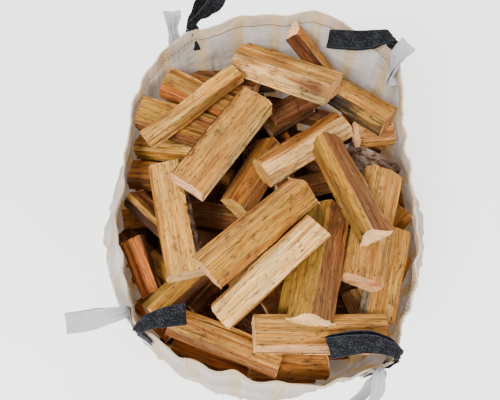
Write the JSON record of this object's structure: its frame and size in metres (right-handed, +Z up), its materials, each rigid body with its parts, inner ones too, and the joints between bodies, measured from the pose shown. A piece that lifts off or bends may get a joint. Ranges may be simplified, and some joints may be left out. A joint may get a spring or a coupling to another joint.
{
  "type": "bag of split firewood",
  "caption": "Open woven bulk bag with gathered corners and webbing lifting loops, heaped to the rim with loose split beech logs.",
  "frame": {"origin": "centre of the bounding box in plan, on the ground under the bag", "axes": "+Z up, front of the bag towards -Y, +X to the right as seen from the front"},
  "size_m": [1.01, 1.04, 1.0308],
  "materials": {
    "woven_fabric": "matt cream-white woven tape fabric, slightly translucent",
    "webbing_black": "matt black flat webbing",
    "webbing_white": "matt white flat webbing",
    "wood_pale": "pale dry beech, fresh split",
    "wood_golden": "golden beech, split and smooth",
    "wood_orange": "orange-brown beech, sheltered side",
    "wood_brown": "brown beech with darker heart",
    "wood_pinkish": "pinkish steamed beech",
    "wood_grey": "weathered grey beech",
    "wood_red": "dark red-brown beech",
    "wood_dark": "dark bark-side beech"
  },
  "bodies": {
    "root": {"bag": "woven_fabric", "lower_logs": "wood_brown", "loop_black_back_left": "webbing_black", "loop_white_back_left": "webbing_white", "loop_black_back_right": "webbing_black", "loop_white_back_right": "webbing_white", "loop_white_front_left": "webbing_white", "loop_black_front_left": "webbing_black", "loop_black_front_right": "webbing_black", "loop_white_front_right": "webbing_white", "log_fill_left": "wood_dark", "log_fill_right": "wood_dark", "log_middle_left_low": "wood_brown", "log_front_hidden": "wood_brown", "log_back_dark": "wood_dark", "log_middle_low": "wood_dark", "log_gap_back": "wood_brown", "log_gap_right": "wood_brown", "log_gap_front": "wood_brown", "log_right_narrow": "wood_brown", "log_right_grey": "wood_grey", "log_right_low": "wood_brown", "log_centre_right_low": "wood_brown", "log_front_left_low": "wood_red", "log_front_left_small": "wood_brown", "log_front_left_corner": "wood_brown", "log_back_right_low": "wood_brown", "log_front_low": "wood_orange", "log_front_orange": "wood_orange", "log_front_right_corner": "wood_pinkish", "log_right_wall": "wood_red", "log_left_orange": "wood_orange", "log_left_narrow": "wood_pale", "log_back_middle_low": "wood_dark", "log_back_left_brown": "wood_brown", "log_right_pinkish": "wood_pinkish", "log_middle_orange": "wood_orange", "log_middle_stub": "wood_dark", "log_left_slanting": "wood_brown", "log_front_left_steep": "wood_red", "log_front_left_pale": "wood_golden", "log_back_left_orange": "wood_orange", "log_left_board": "wood_golden", "log_centre_thin": "wood_golden", "log_right_red": "wood_red", "log_middle_rounded": "wood_orange", "log_right_upright": "wood_golden", "log_back_right_long": "wood_dark", "log_front_long": "wood_brown", "log_front_right_level": "wood_pinkish", "log_centre_upright": "wood_golden", "log_left_upright": "wood_pale", "log_back_big": "wood_golden", "log_back_leaning": "wood_dark", "log_centre_pinkish": "wood_pinkish", "log_right_golden": "wood_golden", "log_top_board": "wood_pale", "log_centre_big": "wood_golden", "log_top_slim": "wood_pale"}
  },
  "joints": []
}
